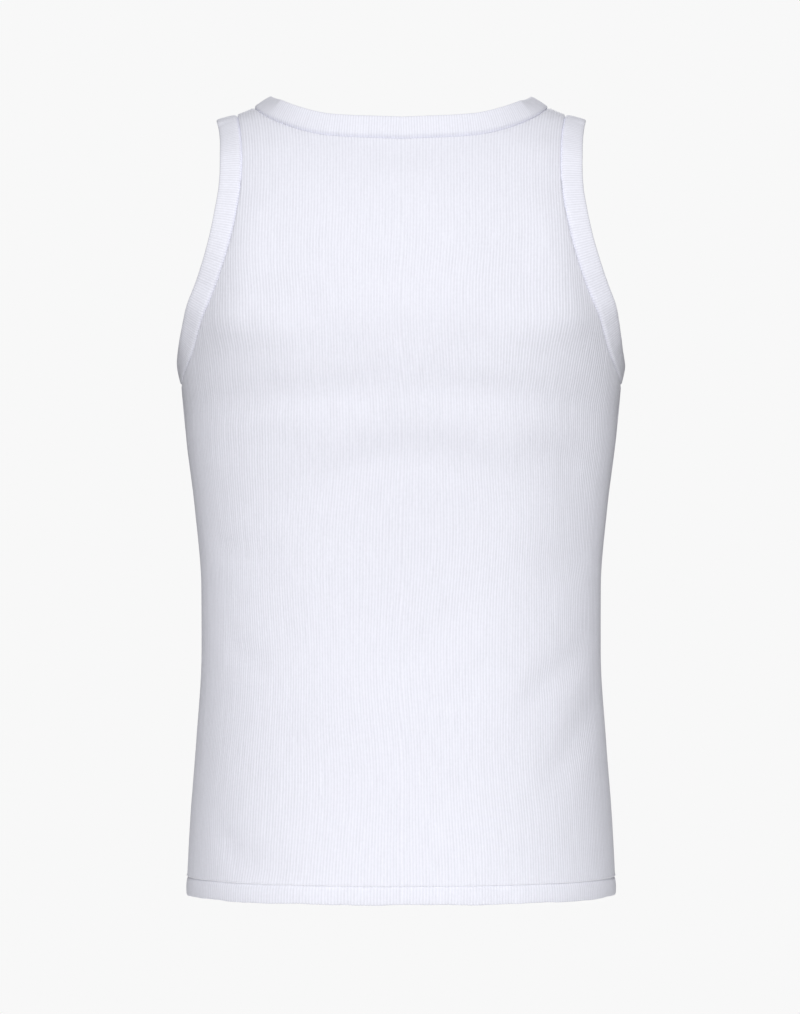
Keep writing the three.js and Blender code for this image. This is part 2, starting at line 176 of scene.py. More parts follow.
FRONT_CREASES = [
    Crease(-150, 420, -92, 404, -34, 402, 3.5, 15),
    Crease(30, 404, 84, 400, 152, 414, 3.7, 15),
    Crease(-98, 350, -20, 332, 74, 338, 3.2, 16),
    Crease(28, 302, 88, 292, 150, 304, 2.4, 12),
    Crease(-154, 262, -112, 250, -62, 254, 2.5, 11),
    Crease(-32, 214, 26, 202, 86, 212, 2.0, 13),
    Crease(102, 168, 130, 182, 160, 206, 2.6, 11),
    Crease(-142, 118, -112, 138, -90, 168, 2.3, 13),
    Crease(-20, 92, 20, 88, 62, 92, 1.4, 7),
    Crease(86, 62, 112, 40, 144, 30, 2.2, 11),
    Crease(-130, 40, -104, 26, -76, 24, 1.9, 9),
    Crease(-112, 520, -104, 490, -84, 470, 2.2, 13),
    Crease(114, 524, 104, 492, 82, 468, 2.0, 13),
    Crease(-60, 470, -44, 462, -28, 462, -2.0, 26),
    Crease(28, 462, 44, 462, 60, 470, -2.0, 26),
]

# How finely the sections, seams and creases are worked out
SECTION_STEPS = 96
SPLINE_STEPS = 40
SEAM_SAMPLES = 400
SEAM_STEPS = 60
SHOULDER_STEPS = 12
CREASE_POINTS = 11
SOLVE_STEPS = 44
PROBE = 0.05 * MM

# A crease is felt up to this many reaches away. Its ends keep this share of its depth, and it fades towards
# them by this power.
CREASE_MARGIN = 3
CREASE_END = 0.15
CREASE_FADE_POWER = 0.8

# How far a cut edge turns in at its seam, and how far from the seam it starts to
SEAM_ROLL = 1.8 * MM
SEAM_ROLL_REACH = 2.0 * MM


def smooth_table(rows, output):
    """A curve in metres through a table in millimetres that never overshoots the table's rows."""
    at = np.array([row.height for row in rows]) * MM
    value = np.array([getattr(row, output) for row in rows]) * MM
    span = np.diff(at)
    rise = np.diff(value) / span
    weight_before = 2 * span[1:] + span[:-1]
    weight_after = span[1:] + 2 * span[:-1]
    turns = rise[:-1] * rise[1:] <= 0
    safe_before = np.where(turns, 1, rise[:-1])
    safe_after = np.where(turns, 1, rise[1:])
    mean = (weight_before + weight_after) / (weight_before / safe_before + weight_after / safe_after)
    slope = np.concatenate([rise[:1], np.where(turns, 0, mean), rise[-1:]])

    def curve(x):
        x = np.clip(x, at[0], at[-1])
        i = np.clip(np.searchsorted(at, x) - 1, 0, len(rows) - 2)
        t = (x - at[i]) / span[i]
        from_start = (2 * t**3 - 3 * t**2 + 1) * value[i] + (t**3 - 2 * t**2 + t) * span[i] * slope[i]
        from_end = (3 * t**2 - 2 * t**3) * value[i + 1] + (t**3 - t**2) * span[i] * slope[i + 1]
        return from_start + from_end

    return curve


def solve(rising, low, high):
    """The places between low and high where a rising function reaches zero."""
    for _ in range(SOLVE_STEPS):
        middle = (low + high) / 2
        below = rising(middle) < 0
        low = np.where(below, middle, low)
        high = np.where(below, high, middle)
    return (low + high) / 2


def smoothstep(x, low, high):
    t = np.clip((x - low) / (high - low), 0, 1)
    return t * t * (3 - 2 * t)


def unit(vectors):
    return vectors / np.linalg.norm(vectors, axis=-1, keepdims=True)


def smooth_path(points, steps):
    """Evenly spaced points along a centripetal spline through the given points."""
    points = np.array(points)
    first = 2 * points[0] - points[1]
    last = 2 * points[-1] - points[-2]
    p = np.vstack([first, points, last])
    gap = np.linalg.norm(np.diff(p, axis=0), axis=1)[:, None] ** 0.5
    a, b, c = gap[:-2], gap[1:-1], gap[2:]
    p0, p1, p2, p3 = p[:-3], p[1:-2], p[2:-1], p[3:]
    start = ((p1 - p0) / a - (p2 - p0) / (a + b) + (p2 - p1) / b) * b
    end = ((p2 - p1) / b - (p3 - p1) / (b + c) + (p3 - p2) / c) * b
    t = np.linspace(0, 1, SPLINE_STEPS, endpoint=False)[None, :, None]
    spline = (
        (2 * t**3 - 3 * t**2 + 1) * p1[:, None]
        + (t**3 - 2 * t**2 + t) * start[:, None]
        + (3 * t**2 - 2 * t**3) * p2[:, None]
        + (t**3 - t**2) * end[:, None]
    ).reshape(-1, 3)
    return resampled(np.vstack([spline, points[-1:]]), steps + 1)


def resampled(points, count):
    """Points at even distances along a line of points."""
    length = path_length(points)
    wanted = np.linspace(0, length[-1], count)
    return np.stack([np.interp(wanted, length, points[:, k]) for k in range(points.shape[1])], axis=1)


def path_length(points):
    return np.concatenate([[0], np.cumsum(np.linalg.norm(np.diff(points[:, :3], axis=0), axis=1))])


half_width_at = smooth_table(SECTIONS, "half_width")
ridge_start = np.array([RIDGE_LOW])
ridge_end = np.array([RIDGE_HIGH])
shoulder_inner_height = solve(lambda h: SHOULDER_INNER_X - half_width_at(h), ridge_start, ridge_end)
shoulder_outer_height = solve(lambda h: SHOULDER_OUTER_X - half_width_at(h), ridge_start, ridge_end)


class Panel:
    """One side of the garment: its form, seams and creases. A column follows one rib, and is named by its
    distance from the middle, round the panel at the underarm."""

    def __init__(self, name, facing, neck, armhole, creases):
        self.name = name
        self.facing = facing
        self.depth_at = smooth_table(SECTIONS, name)
        self.fan = 0
        self.chest = self.section_arcs(np.array([UNDERARM_HEIGHT]))[0, -1]
        self.side_edge = self.chest - SEAM_GAP / 2
        rows = np.array(armhole) * MM
        x, y = self.point_at_arc(rows[:, 0], rows[:, 1])
        underarm = self.form_point(np.array([self.chest]), np.array([UNDERARM_HEIGHT]))
        points = np.vstack([underarm, np.stack([x, facing * y, rows[:, 1]], axis=1)])
        self.armhole = self.seam_places(smooth_path(points, SEAM_SAMPLES))
        self.strap_edge = self.armhole[-1, 0]
        strap = self.form_point(self.armhole[-1:, 0], np.array([STRAP_NARROW_HEIGHT]))
        self.fan = SHOULDER_OUTER_X / strap[0, 0] - 1
        rows = np.array(neck) * MM
        shoulder = [[SHOULDER_INNER_X, 0, shoulder_inner_height[0]]]
        points = np.vstack([self.point_at_x(rows[:, 0], rows[:, 1]), shoulder])
        self.neck = self.seam_places(smooth_path(points, SEAM_SAMPLES))
        self.neck[:, 0] = np.maximum.accumulate(self.neck[:, 0])
        self.neck_edge = self.neck[-1, 0]
        self.creases = [(self.crease_line(crease), crease) for crease in creases]

    def section_arcs(self, height):
        """For each height, the distance round half of the level section at even steps of its angle."""
        angle = np.linspace(0, math.pi / 2, SECTION_STEPS + 1)
        x = half_width_at(height)[:, None] * np.sin(angle) ** (2 / SQUARENESS)
        y = self.depth_at(height)[:, None] * np.cos(angle)
        steps = np.hypot(np.diff(x, axis=1), np.diff(y, axis=1))
        return np.concatenate([np.zeros((len(height), 1)), np.cumsum(steps, axis=1)], axis=1)

    def point_at_arc(self, arc, height):
        arcs = self.section_arcs(height)
        row = np.arange(len(arc))
        i = np.clip((arcs < arc[:, None]).sum(axis=1) - 1, 0, SECTION_STEPS - 1)
        part = np.clip((arc - arcs[row, i]) / (arcs[row, i + 1] - arcs[row, i]), 0, 1)
        angle = (i + part) / SECTION_STEPS * math.pi / 2
        x = half_width_at(height) * np.sin(angle) ** (2 / SQUARENESS)
        return x, self.depth_at(height) * np.cos(angle)

    def column_arc(self, distance, height):
        """Near the side seams the columns take up the waist."""
        half = self.section_arcs(height)[:, -1]
        return distance + (half - self.chest) * (distance / self.chest) ** WAIST_SHARE

    def column_x(self, distance, height):
        """Above the straight height the columns go straight up, and fan out over the straps."""
        level = np.full(len(distance), STRAIGHT_HEIGHT)
        x, _ = self.point_at_arc(self.column_arc(distance, level), level)
        rise = np.maximum(0, height - STRAP_NARROW_HEIGHT) / (shoulder_outer_height - STRAP_NARROW_HEIGHT)
        return x * (1 + self.fan * rise**2)

    def form_point(self, column, height):
        """A point of the plain form, with its height above the hem."""
        distance = np.abs(column)
        x, y = self.point_at_arc(self.column_arc(distance, height), height)
        low = np.stack([np.sign(column) * x, self.facing * y, height], axis=1)
        high = self.point_at_x(np.sign(column) * self.column_x(distance, height), height)
        return np.where((height <= STRAIGHT_HEIGHT)[:, None], low, high)

    def point_at_x(self, x, height):
        across = np.minimum(1, np.abs(x) / half_width_at(height)) ** SQUARENESS
        return np.stack([x, self.facing * self.depth_at(height) * np.sqrt(1 - across), height], axis=1)

    def form_normal(self, point):
        def outline(height):
            across = (np.abs(point[:, 0]) / half_width_at(height)) ** SQUARENESS
            return across + (point[:, 1] / self.depth_at(height)) ** 2

        half_width = half_width_at(point[:, 2])
        depth = self.depth_at(point[:, 2])
        steep = SQUARENESS * (np.abs(point[:, 0]) / half_width) ** (SQUARENESS - 1) / half_width
        lean = (outline(point[:, 2] + PROBE) - outline(point[:, 2] - PROBE)) / (2 * PROBE)
        return unit(np.stack([np.sign(point[:, 0]) * steep, 2 * point[:, 1] / depth**2, lean], axis=1))

    def seam_places(self, points):
        """The column and height of each point of a seam."""
        x, y, height = points.T
        low = np.zeros(len(x))
        high = np.full(len(x), self.chest)
        straight = solve(lambda distance: self.column_x(distance, height) - x, low, high)
        across = np.minimum(1, x / half_width_at(height)) ** (SQUARENESS / 2)
        angle = np.arctan2(across, np.abs(y) / self.depth_at(height))
        step = np.clip(angle / (math.pi / 2), 0, 1) * SECTION_STEPS
        arcs = self.section_arcs(height)
        row = np.arange(len(x))
        i = np.minimum(step.astype(int), SECTION_STEPS - 1)
        arc = arcs[row, i] + (step - i) * (arcs[row, i + 1] - arcs[row, i])
        bent = solve(lambda distance: self.column_arc(distance, height) - arc, low, high)
        return np.stack([np.where(height > STRAIGHT_HEIGHT, straight, bent), height], axis=1)

    def shoulder_height(self, distance):
        low = np.full(len(distance), STRAP_NARROW_HEIGHT)
        high = np.full(len(distance), RIDGE_HIGH)
        return solve(lambda h: SEAM_GAP / 2 - np.abs(self.form_point(distance, h)[:, 1]), low, high)

    def top_height(self, distance):
        """The height of a column's end at the neck, the shoulder or the armhole."""
        neck = np.interp(distance, self.neck[:, 0], self.neck[:, 1])
        armhole = np.interp(distance, self.armhole[::-1, 0], self.armhole[::-1, 1])
        shoulder = self.shoulder_height(distance)
        past_neck = np.where(distance <= self.strap_edge, shoulder, armhole)
        return np.where(distance < self.neck_edge, neck, past_neck)

    def crease_line(self, crease):
        """A crease's line on the form, bowed through its middle."""
        t = np.linspace(0, 1, CREASE_POINTS)
        first, middle, last = (2 * t - 1) * (t - 1), 4 * t * (1 - t), t * (2 * t - 1)
        x = (first * crease.x1 + middle * crease.x2 + last * crease.x3) * MM
        height = (first * crease.height1 + middle * crease.height2 + last * crease.height3) * MM
        return self.point_at_x(x, height)

    def crease_depth(self, points):
        """How far in the creases press the form at each point."""
        pressed = np.zeros(len(points))
        for line, crease in self.creases:
            reach = crease.reach * MM
            margin = CREASE_MARGIN * reach
            inside = (points > line.min(axis=0) - margin) & (points < line.max(axis=0) + margin)
            near = np.all(inside, axis=1)
            if not near.any():
                continue
            here = points[near]
            nearest = np.full(len(here), np.inf)
            along = np.zeros(len(here))
            steps = len(line) - 1
            for k in range(steps):
                step = line[k + 1] - line[k]
                t = np.clip((here - line[k]) @ step / (step @ step), 0, 1)
                distance = np.linalg.norm(here - line[k] - t[:, None] * step, axis=1)
                along = np.where(distance < nearest, (k + t) / steps, along)
                nearest = np.minimum(nearest, distance)
            fade = CREASE_END + (1 - CREASE_END) * (4 * along * (1 - along)) ** CREASE_FADE_POWER
            pressed[near] += crease.depth * MM * fade * np.exp(-((nearest / reach) ** 2))
        return pressed

    def worn_point(self, column, height):
        """A point of the creased form, and the form's outward direction there."""
        point = self.form_point(column, height)
        normal = self.form_normal(point)
        return point - normal * self.crease_depth(point)[:, None], normal


back = Panel("back", -1, BACK_NECK, BACK_ARMHOLE, BACK_CREASES)
front = Panel("front", 1, FRONT_NECK, FRONT_ARMHOLE, FRONT_CREASES)

# Heights of a panel's rows, in millimetres: the turned-up layer's, the outer layer's near the hem, the evenly
# spaced ones and the shoulder's. The hem's fold has a row at each angle, in degrees. Rows above a column's
# end are packed close below it.
TURNED_ROWS = [15, 8, 1.2]
FOLD_ANGLES = [135, 90, 45]
HEM_ROWS = [1.2, 6, 11, 13.2, 14.2, 14.9, 15.6, 16.4, 17.6, 20.5]
EVEN_ROWS = np.linspace(28, 606, 62)
SHOULDER_ROWS = [618, 630, 641, 650, 657.5, 663.5, 667.5, 670]
PACKED_GAP = 0.3 * MM
PROFILE_STEPS = 100
SEAM_MARKS = 1000
FOLD_RADIUS = CLOTH + 0.05 * MM

# The hem's stitch line draws the cloth in, and the layers below it are puffed out
STITCH_HEIGHT = HEM_TURN_UP + 1.3 * MM
DRAW_HEIGHT = HEM_TURN_UP - 0.2 * MM
STITCH_DRAW = 0.75 * MM
STITCH_REACH = 1.2 * MM
STITCH_RIDGE = 0.4 * MM
STITCH_RIDGE_REACH = 1.0 * MM
HEM_PUFF = 0.5 * MM

# The hem's edge waves a little: size and span of each wave, and where it starts
HEM_WAVES = [(0.35 * MM, 97 * MM, 0.6), (0.16 * MM, 41 * MM, 2.0), (0.08 * MM, 19 * MM, 4.1)]
HEM_WAVE_REACH = 14 * MM

# The ribs wander a little to each side on their way up: the size and the spans of each wave, up the cloth and
# across it, and where it starts. The wander fades out at the side seams and towards the straps.
RIB_WANDER = [(2.5 * MM, 310 * MM, 420 * MM, 0.4), (0.8 * MM, 140 * MM, -230 * MM, 2.1)]
WANDER_FADE = 70 * MM
WANDER_TOP = 585 * MM


def waves(place, table):
    return sum(size * np.sin(2 * math.pi * place / span + start) for size, span, start in table)


def hem_shift(column, height):
    """How far the hem's waves move a point up."""
    return UP * (waves(column, HEM_WAVES) * np.exp(-height / HEM_WAVE_REACH))[:, None]


def wandered(panel, column, height, below_top):
    """Where the ribs wander to. They end where they should at the seams."""
    slide = np.zeros(len(column))
    for size, rise, span, start in RIB_WANDER:
        slide += size * np.sin(2 * math.pi * (height / rise + column / span) + start)
    from_side = smoothstep(panel.side_edge - np.abs(column), 0, WANDER_FADE)
    from_top = smoothstep(below_top, 0, WANDER_FADE)
    return column + slide * (from_side * from_top)


def make_grid(name, columns, rows):
    """A flat grid of cloth with a UV map. Gives its object, and the column and row of each of its points."""
    bm = bmesh.new()
    bm.loops.layers.uv.new("weave")
    bmesh.ops.create_grid(bm, x_segments=columns, y_segments=rows, size=0.5, calc_uvs=True)
    mesh = bpy.data.meshes.new(name)
    bm.to_mesh(mesh)
    bm.free()
    piece = bpy.data.objects.new(name, mesh)
    bpy.context.scene.collection.objects.link(piece)
    flat = np.empty(len(mesh.vertices) * 3)
    mesh.vertices.foreach_get("co", flat)
    flat = flat.reshape(-1, 3) + 0.5
    return piece, np.rint(flat[:, 0] * columns).astype(int), np.rint(flat[:, 1] * rows).astype(int)


def place_grid(piece, points, weave):
    """Moves a grid's points to their heights above the hem less the origin's, and sets its UVs in metres."""
    mesh = piece.data
    placed = points - UP * ORIGIN_HEIGHT
    mesh.vertices.foreach_set("co", placed.ravel())
    corner = np.empty(len(mesh.loops), int)
    mesh.loops.foreach_get("vertex_index", corner)
    mesh.uv_layers["weave"].data.foreach_set("uv", weave[corner].ravel())
    mesh.shade_smooth()
    mesh.update()


def close_ring(piece):
    """Joins the first and last columns of a grid that runs round a ring."""
    bm = bmesh.new()
    bm.from_mesh(piece.data)
    bmesh.ops.remove_doubles(bm, verts=bm.verts, dist=0.001 * MM)
    bm.to_mesh(piece.data)
    bm.free()


def thicken(piece, thickness):
    shell = piece.modifiers.new("cloth", "SOLIDIFY")
    shell.thickness = thickness
    shell.offset = -1


# How ribs differ: the least and most depth of a groove beside the usual one, the most that this swings along
# the rib, and the least and most length of a swing, in millimetres
RIB_DEPTHS = (0.72, 1.2)
RIB_SWING = 0.28
RIB_SWING_SPANS = (45, 140)


def rib_relief(column, row_length, strength, seed):
    """How far out each point of the ribs lies, always below the form. No two ribs are quite alike."""
    draws = np.random.default_rng(seed)
    rib = column // COLUMNS_PER_RIB
    count = rib.max() + 1
    depth = draws.uniform(*RIB_DEPTHS, count)[rib]
    swing = draws.uniform(0, RIB_SWING, count)[rib]
    span = draws.uniform(*RIB_SWING_SPANS, count)[rib] * MM
    start = draws.uniform(0, 2 * math.pi, count)[rib]
    uneven = depth * (1 + swing * np.sin(2 * math.pi * row_length / span + start))
    profile = np.array([GROOVE, CREST, CREST])[column % COLUMNS_PER_RIB]
    return -profile * uneven * strength


def seam_distance(panel, points):
    """The distance from each point to the nearest neck, armhole or side seam."""
    strap_top = panel.shoulder_height(np.array([panel.strap_edge]))[0]
    strap_rise = np.linspace(STRAP_NARROW_HEIGHT, strap_top, SEAM_STEPS)
    strap = np.stack([np.full(SEAM_STEPS, panel.strap_edge), strap_rise], axis=1)
    side_rise = np.linspace(0, panel.top_height(np.array([panel.side_edge]))[0], SEAM_STEPS)
    side = np.stack([np.full(SEAM_STEPS, panel.side_edge), side_rise], axis=1)
    lines = [panel.neck, panel.armhole, strap, side]
    marks = np.vstack([resampled(panel.form_point(*line.T), SEAM_MARKS) for line in lines])
    marks = np.vstack([marks, marks * np.array([-1, 1, 1])])
    tree = kdtree.KDTree(len(marks))
    for i, mark in enumerate(marks):
        tree.insert(mark, i)
    tree.balance()
    return np.array([tree.find(point)[2] for point in points])


def make_panel(panel, name, seed):
    """A panel as one sheet: it starts at the edge of the turned-up hem and ends at the neck and armholes."""
    columns = RIBS_PER_PANEL * COLUMNS_PER_RIB
    turned = len(TURNED_ROWS) + len(FOLD_ANGLES)
    level = np.array([*TURNED_ROWS, *[0] * len(FOLD_ANGLES), *HEM_ROWS, *EVEN_ROWS, *SHOULDER_ROWS]) * MM
    row_count = len(level) + 1
    piece, i, j = make_grid(name, columns, row_count - 1)
    column_at = -panel.facing * np.linspace(-panel.side_edge, panel.side_edge, columns + 1)
    distance = np.abs(column_at)

    # Each column's line up the form, for the distance of each of its points from the hem
    top = panel.top_height(distance)
    steps = np.sin(np.linspace(0, math.pi / 2, PROFILE_STEPS + 1))
    profile = top[:, None] * steps[None, :]
    places = np.repeat(column_at, PROFILE_STEPS + 1)
    line = panel.form_point(places, profile.ravel()).reshape(columns + 1, PROFILE_STEPS + 1, 3)
    length = np.cumsum(np.linalg.norm(np.diff(line, axis=1), axis=2), axis=1)
    length = np.concatenate([np.zeros((columns + 1, 1)), length], axis=1)
    rows_below_top = np.arange(row_count - 1, -1, -1) * PACKED_GAP
    heights = np.minimum(np.append(level, RIDGE_HIGH)[None, :], top[:, None] - rows_below_top[None, :])
    lengths = np.stack([np.interp(heights[k], profile[k], length[k]) for k in range(columns + 1)])

    column = column_at[i]
    height = heights[i, j]
    placed = wandered(panel, column, height, np.minimum(top[i], WANDER_TOP) - height)
    point, normal = panel.worn_point(placed, height)
    relief = rib_relief(i, lengths[i, j], 1, seed)

    # The sheet turns round the hem's fold: an angle of 0 is its outer face, and 180 its turned-up layer
    angle = np.zeros(row_count)
    angle[: len(TURNED_ROWS)] = math.pi
    angle[len(TURNED_ROWS) : turned] = np.radians(FOLD_ANGLES)
    turn = angle[j][:, None]
    in_fold = ((j >= len(TURNED_ROWS)) & (j < turned))[:, None]
    point = point - normal * FOLD_RADIUS * (1 - np.cos(turn))
    point = point + in_fold * UP * FOLD_RADIUS * (1 - np.sin(turn))
    point = point + relief[:, None] * (np.cos(turn) * normal - np.sin(turn) * UP)

    # The stitch line, the puffed hem, its uneven edge and the seams
    outer = j >= turned
    draw = STITCH_DRAW * np.exp(-(((height - DRAW_HEIGHT) / STITCH_REACH) ** 2))
    draw -= STITCH_RIDGE * np.exp(-(((height - STITCH_HEIGHT) / STITCH_RIDGE_REACH) ** 2))
    puff = HEM_PUFF * np.sin(math.pi * np.clip(height / DRAW_HEIGHT, 0, 1))
    point = point + normal * ((puff - draw) * outer)[:, None] + hem_shift(column, height)
    apart = seam_distance(panel, panel.form_point(placed, height))
    roll = SEAM_ROLL * np.maximum(0, 1 - apart / SEAM_ROLL_REACH) ** 2 * outer
    point = point - normal * roll[:, None]
    place_grid(piece, point, np.stack([column, lengths[i, j]], axis=1))
    thicken(piece, CLOTH)
    return piece


# The bands' lift turns them out from the form: 0 keeps one in the form's surface. Reaches start at Y zero.
NECK_BACK_LIFT = 0.62
NECK_BACK_REACH = 60 * MM
ARMHOLE_LEAST_LIFT = 0.1
ARMHOLE_MOST_LIFT = 0.38
ARMHOLE_LIFT_START = 20 * MM
ARMHOLE_LIFT_END = 70 * MM
LIFT_SWING = 0.05
LIFT_SPAN = 150 * MM
BAND_RIB = 2.3 * MM
BAND_RIB_STRENGTH = 0.65

# A band's right side as it is folded and sewn, in millimetres: the distance across from its seam, and out
# from the form. Both its ends lie inside the garment, as the seam's allowance.
BAND_SECTION = [
    (-6.0, -1.6),
    (-3.0, -1.6),
    (-1.8, -1.95),
    (-1.1, -2.8),
    (-0.5, -3.15),
    (-0.15, -2.75),
    (-0.05, -2.0),
    (0.15, -1.3),
    (0.55, -0.55),
    (1.3, 0.05),
    (2.6, 0.32),
    (4.5, 0.42),
    (9.0, 0.5),
    (13.5, 0.42),
    (16.2, 0.16),
    (17.3, -0.35),
    (17.6, -0.85),
    (17.3, -1.38),
    (16.2, -1.85),
    (12.0, -1.95),
    (6.0, -1.95),
    (2.5, -3.0),
    (0.8, -4.2),
    (-1.2, -5.0),
    (-3.0, -4.1),
    (-6.0, -3.6),
]
LIFT_FROM = 1.5 * MM

# An overlocked edge: the length of a stitch, and its thread's way over the allowance, as parts of a stitch
# along the seam and millimetres across and out
OVERLOCK_STITCH = 2.4 * MM
OVERLOCK_THREAD = 0.15 * MM
POINTS_PER_STITCH = 40
OVERLOCK = [(0.0, -1.6, -5.05), (0.4, -6.1, -3.82), (0.5, -6.45, -2.6), (0.6, -6.1, -3.82)]


def lifted(points, lift):
    return lift + LIFT_SWING * np.sin(2 * math.pi * path_length(points) / LIFT_SPAN)


def neck_lift(points):
    return lifted(points, NECK_BACK_LIFT * smoothstep(-points[:, 1], 0, NECK_BACK_REACH))


def armhole_lift(points):
    share = smoothstep(np.abs(points[:, 1]), ARMHOLE_LIFT_START, ARMHOLE_LIFT_END)
    return lifted(points, ARMHOLE_LEAST_LIFT + (ARMHOLE_MOST_LIFT - ARMHOLE_LEAST_LIFT) * share)


def seam_run(panel, columns, heights):
    """Points and outward directions along a seam, side by side."""
    return np.hstack(panel.worn_point(columns, heights))


def neck_path():
    """The neck seam, from the middle of the back round the right shoulder and the front."""
    right_back = seam_run(back, *back.neck.T)
    right_front = seam_run(front, *front.neck.T)[::-1]
    half = np.vstack([right_back[:-1], right_front[1:]])
    return np.vstack([half, mirrored(half)[1:]])


def armhole_path():
    """The right armhole's seam, from the side seam up the front, over the shoulder and down the back."""
    runs = []
    for panel in (front, back):
        edge = np.full(SEAM_STEPS, panel.strap_edge)
        climb = panel.shoulder_height(edge[:1])[0] - STRAP_NARROW_HEIGHT
        rise = STRAP_NARROW_HEIGHT + climb * np.sin(np.linspace(0, math.pi / 2, SEAM_STEPS))
        low = seam_run(panel, *panel.armhole.T)
        runs.append(np.vstack([low[:-1], seam_run(panel, edge, rise)]))
    return np.vstack([runs[0], runs[1][::-1]])


def mirrored(path):
    return path[::-1] * np.array([-1, 1, 1, -1, 1, 1])


def ring_frame(path, count):
    """Evenly spaced points round a closed seam, the ways into its opening there, and the ways out."""
    path = resampled(path, count + 1)[:-1]
    points = path[:, :3]
    normal = unit(path[:, 3:])
    along = unit(np.roll(points, -COLUMNS_PER_RIB, axis=0) - np.roll(points, COLUMNS_PER_RIB, axis=0))
    inward = unit(np.cross(normal, along))
    if np.sum(inward * (points.mean(axis=0) - points)) < 0:
        return ring_frame(np.vstack([path, path[:1]])[::-1], count)
    return points, inward, normal


def beside_seam(points, inward, normal, lift, a, o):
    """Points across and out from a seam. Past the seam itself the band is lifted."""
    lift = (lift * smoothstep(a, 0, LIFT_FROM))[:, None]
    across = unit(inward + normal * lift)
    out = unit(normal - inward * lift)
    return points + inward * SEAM_GAP + across * a[:, None] + out * o[:, None]


def make_band(name, path, lift_at, seed):
    """A folded band round a closed seam, with its ribs across it."""
    length = path_length(path)[-1]
    columns = round(length / BAND_RIB) * COLUMNS_PER_RIB
    points, inward, normal = ring_frame(path, columns)
    section = np.array(BAND_SECTION) * MM
    face = unit(np.gradient(section, axis=0))
    fold_length = path_length(section)
    piece, i, j = make_grid(name, columns, len(section) - 1)
    ring = i % columns
    relief = rib_relief(ring, fold_length[j], BAND_RIB_STRENGTH, seed)
    a = section[j, 0] - face[j, 1] * relief
    o = section[j, 1] + face[j, 0] * relief
    placed = beside_seam(points[ring], inward[ring], normal[ring], lift_at(points)[ring], a, o)
    weave = np.stack([i / COLUMNS_PER_RIB * BAND_RIB, fold_length[j]], axis=1)
    place_grid(piece, placed, weave)
    close_ring(piece)
    thicken(piece, CLOTH)
    return piece


def make_thread(name, runs, radius, closed=False):
    """A sewing thread through one or more runs of points."""
    curve = bpy.data.curves.new(name, "CURVE")
    curve.dimensions = "3D"
    curve.bevel_depth = radius
    curve.bevel_resolution = 1
    curve.use_fill_caps = True
    for run in runs:
        spline = curve.splines.new("POLY")
        spline.points.add(len(run) - 1)
        placed = run - UP * ORIGIN_HEIGHT
        spline.points.foreach_set("co", np.hstack([placed, np.ones((len(run), 1))]).ravel())
        spline.use_cyclic_u = closed
        spline.use_smooth = True
    piece = bpy.data.objects.new(name, curve)
    bpy.context.scene.collection.objects.link(piece)
    return piece


def overlock_ring(name, path):
    """The overlocked edge inside a band's seam."""
    length = path_length(path)[-1]
    stitches = round(length / OVERLOCK_STITCH)
    points, inward, normal = ring_frame(path, stitches * POINTS_PER_STITCH)
    turns, across, out = np.array(OVERLOCK).T
    at = ((np.arange(stitches)[:, None] + turns[None, :]) * POINTS_PER_STITCH).astype(int).ravel()
    a = np.tile(across, stitches) * MM
    o = np.tile(out, stitches) * MM
    run = beside_seam(points[at], inward[at], normal[at], np.zeros(len(at)), a, o)
    return make_thread(name, [run], OVERLOCK_THREAD, closed=True)


# The side and shoulder seams' allowances lie inside, pressed to the back: two layers of cloth, placed as the
# bands' are, with the distance across taken from the seam to the front
ALLOWANCE_SECTION = [
    (-7.0, -1.6),
    (-4.5, -1.6),
    (-2.2, -1.95),
    (-0.8, -2.8),
    (0.0, -3.0),
    (0.7, -2.75),
    (1.6, -2.25),
]
ALLOWANCE_STEP = 9 * MM
ALLOWANCE_LEAST_STEPS = 4
ALLOWANCE_SEAM_POINTS = 2000
ALLOWANCE_OVERLOCK = [(0.0, -1.8, -4.3), (0.4, -6.9, -3.5), (0.5, -7.3, -2.5), (0.6, -6.9, -3.5)]


def side_seam(side):
    """The side seam from the hem up. Side is 1 on the right and -1 on the left."""
    height = np.linspace(HEM_TURN_UP, back.top_height(np.array([back.side_edge]))[0], SEAM_STEPS)
    return seam_run(back, np.full(SEAM_STEPS, side * back.side_edge), height)


def shoulder_seam(side):
    """The shoulder seam from the neck out, midway between back and front."""
    column = np.linspace(back.neck_edge, back.strap_edge, SHOULDER_STEPS)
    run = seam_run(back, side * column, back.shoulder_height(column))
    run[:, 1] = 0
    run[:, 4] = 0
    return run


def beside_line(run, a, o):
    """Points to the front and out from a seam that runs across them."""
    normal = unit(run[:, 3:])
    front_way = unit(FORWARD - normal * (normal @ FORWARD)[:, None])
    return run[:, :3] + front_way * a[:, None] + normal * o[:, None]


def make_allowance(name, seam):
    """A seam's allowance as one folded strip, and the thread over its edge."""
    length = path_length(seam)[-1]
    rows = max(ALLOWANCE_LEAST_STEPS, round(length / ALLOWANCE_STEP))
    run = resampled(seam, rows + 1)
    section = np.array(ALLOWANCE_SECTION) * MM
    if np.cross(FORWARD, run[-1, :3] - run[0, :3]) @ run[0, 3:] < 0:
        section = section[::-1]
    piece, i, j = make_grid(name, len(section) - 1, rows)
    place_grid(piece, beside_line(run[j], *section[i].T), np.stack([section[i, 0], run[j, 2]], axis=1))
    thicken(piece, 2 * CLOTH)

    stitches = round(length / OVERLOCK_STITCH)
    turns, across, out = np.array(ALLOWANCE_OVERLOCK).T
    at = ((np.arange(stitches)[:, None] + turns[None, :]) / stitches).ravel()
    fine = resampled(seam, ALLOWANCE_SEAM_POINTS)
    place = fine[(at * (len(fine) - 1)).astype(int)]
    way = beside_line(place, np.tile(across, stitches) * MM, np.tile(out, stitches) * MM)
    return piece, make_thread(name + "_overlock", [way], OVERLOCK_THREAD), length


